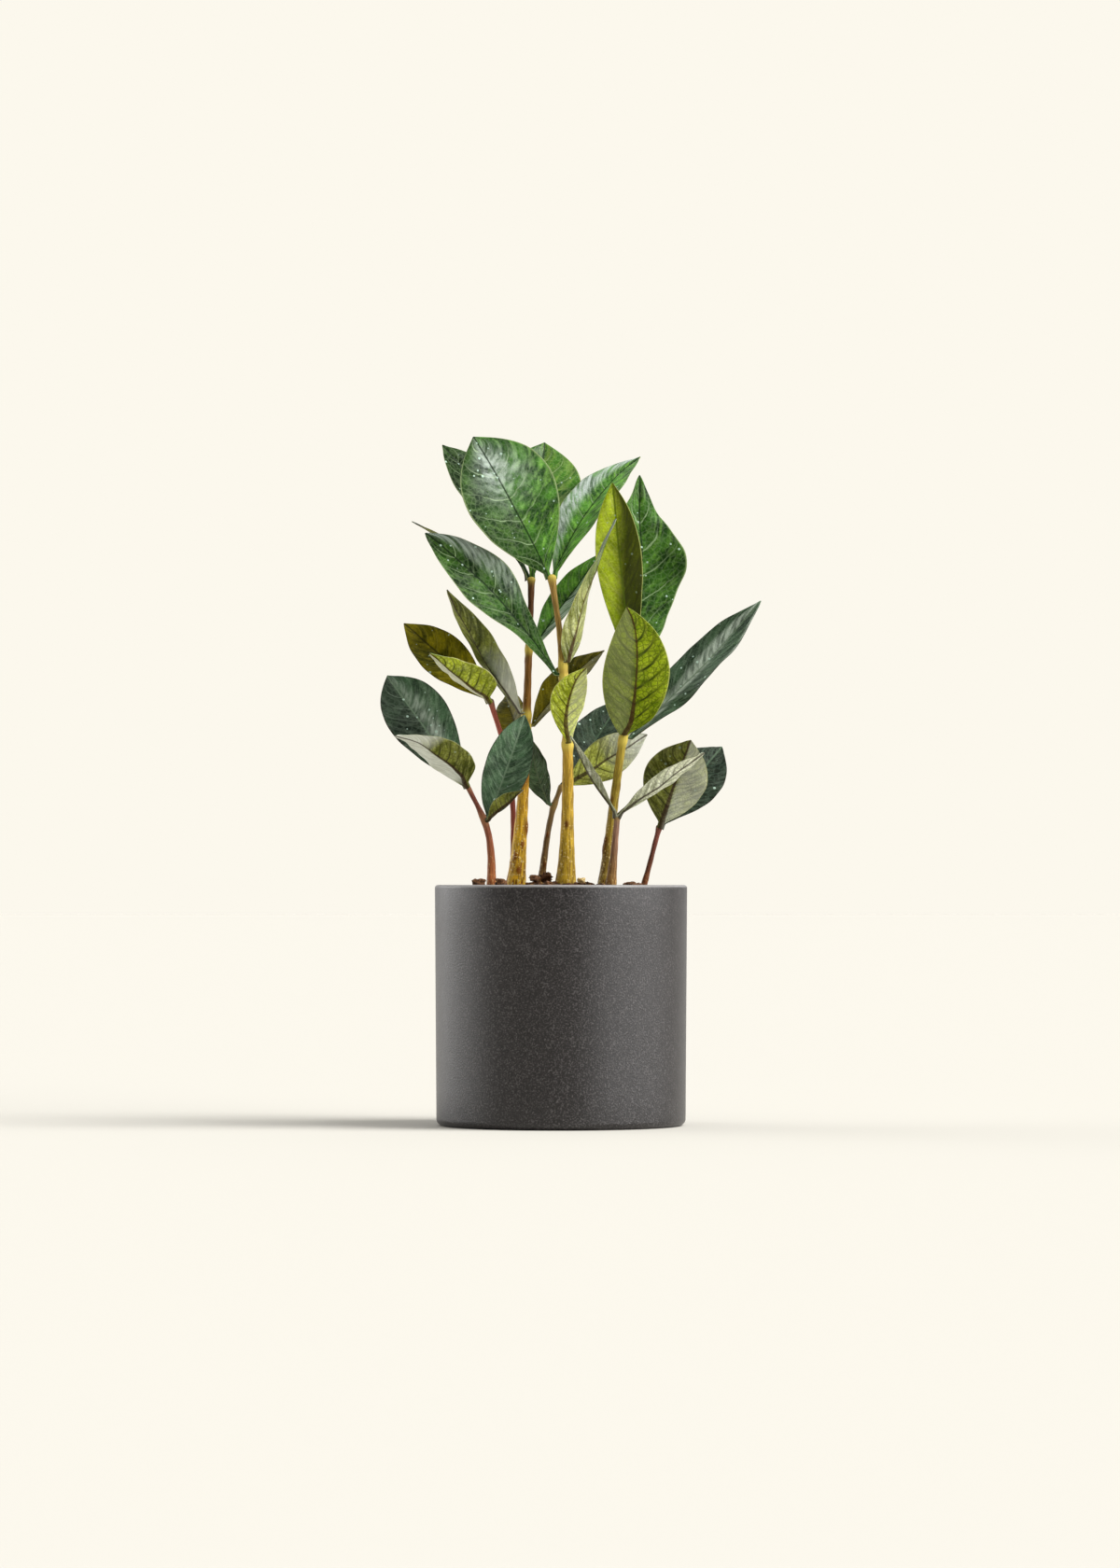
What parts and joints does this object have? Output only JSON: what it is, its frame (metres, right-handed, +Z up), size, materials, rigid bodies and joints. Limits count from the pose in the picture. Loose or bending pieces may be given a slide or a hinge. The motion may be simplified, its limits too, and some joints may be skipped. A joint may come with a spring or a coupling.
{
  "type": "potted zz plant",
  "caption": "Potted plant with upright fleshy stems and glossy dark leaflets, rooted in bark mix in a straight-sided charcoal stoneware pot.",
  "frame": {"origin": "middle of the pot's flat foot, on the surface it stands on", "axes": "+Z up along the pot's axis, -Y towards the plant's front, where the largest leaflets face, +X to the right seen from the front"},
  "size_m": [0.1925, 0.127, 0.3479],
  "materials": {
    "bark": "matte",
    "golden_chip": "matte",
    "leaf_dark": "satin",
    "leaf_fresh": "satin",
    "leaf_olive": "satin",
    "leaf_pale": "satin",
    "potting_mix": "matte",
    "stem_ochre": "satin",
    "stem_russet": "satin",
    "stoneware": "matte"
  },
  "bodies": {
    "root": {"chip_back": "bark", "chip_front": "bark", "chip_golden": "golden_chip", "chip_left_back": "bark", "chip_left_front": "bark", "chip_left_inner": "bark", "chip_middle": "bark", "chip_right_back": "bark", "chip_right_front": "bark", "chip_tall": "bark", "leaf_back_middle": "leaf_dark", "leaf_back_small_olive": "leaf_olive", "leaf_back_top_left": "leaf_dark", "leaf_back_top_right": "leaf_dark", "leaf_back_upper_left": "leaf_dark", "leaf_centre_folded": "leaf_dark", "leaf_centre_fresh": "leaf_fresh", "leaf_centre_olive": "leaf_olive", "leaf_far_right_dark": "leaf_dark", "leaf_far_right_olive": "leaf_pale", "leaf_front_pale": "leaf_pale", "leaf_front_slim": "leaf_pale", "leaf_left_end_dark": "leaf_dark", "leaf_left_end_pale": "leaf_pale", "leaf_left_large": "leaf_dark", "leaf_left_mid_dark": "leaf_dark", "leaf_left_mid_folded": "leaf_olive", "leaf_left_narrow": "leaf_olive", "leaf_left_upper_fresh": "leaf_fresh", "leaf_left_upper_olive": "leaf_olive", "leaf_low_back_dark": "leaf_dark", "leaf_low_back_olive": "leaf_olive", "leaf_low_narrow": "leaf_dark", "leaf_right_large": "leaf_dark", "leaf_right_long": "leaf_dark", "leaf_right_pale": "leaf_fresh", "leaf_right_yellow": "leaf_fresh", "leaf_top_large": "leaf_dark", "leaf_top_right": "leaf_dark", "pot": "stoneware", "potting_mix": "potting_mix", "stem_back_left": "stem_russet", "stem_centre": "stem_ochre", "stem_far_right": "stem_russet", "stem_front_right": "stem_russet", "stem_left": "stem_russet", "stem_right": "stem_ochre", "stem_slender": "stem_russet", "stem_tall_left": "stem_ochre"}
  },
  "joints": []
}
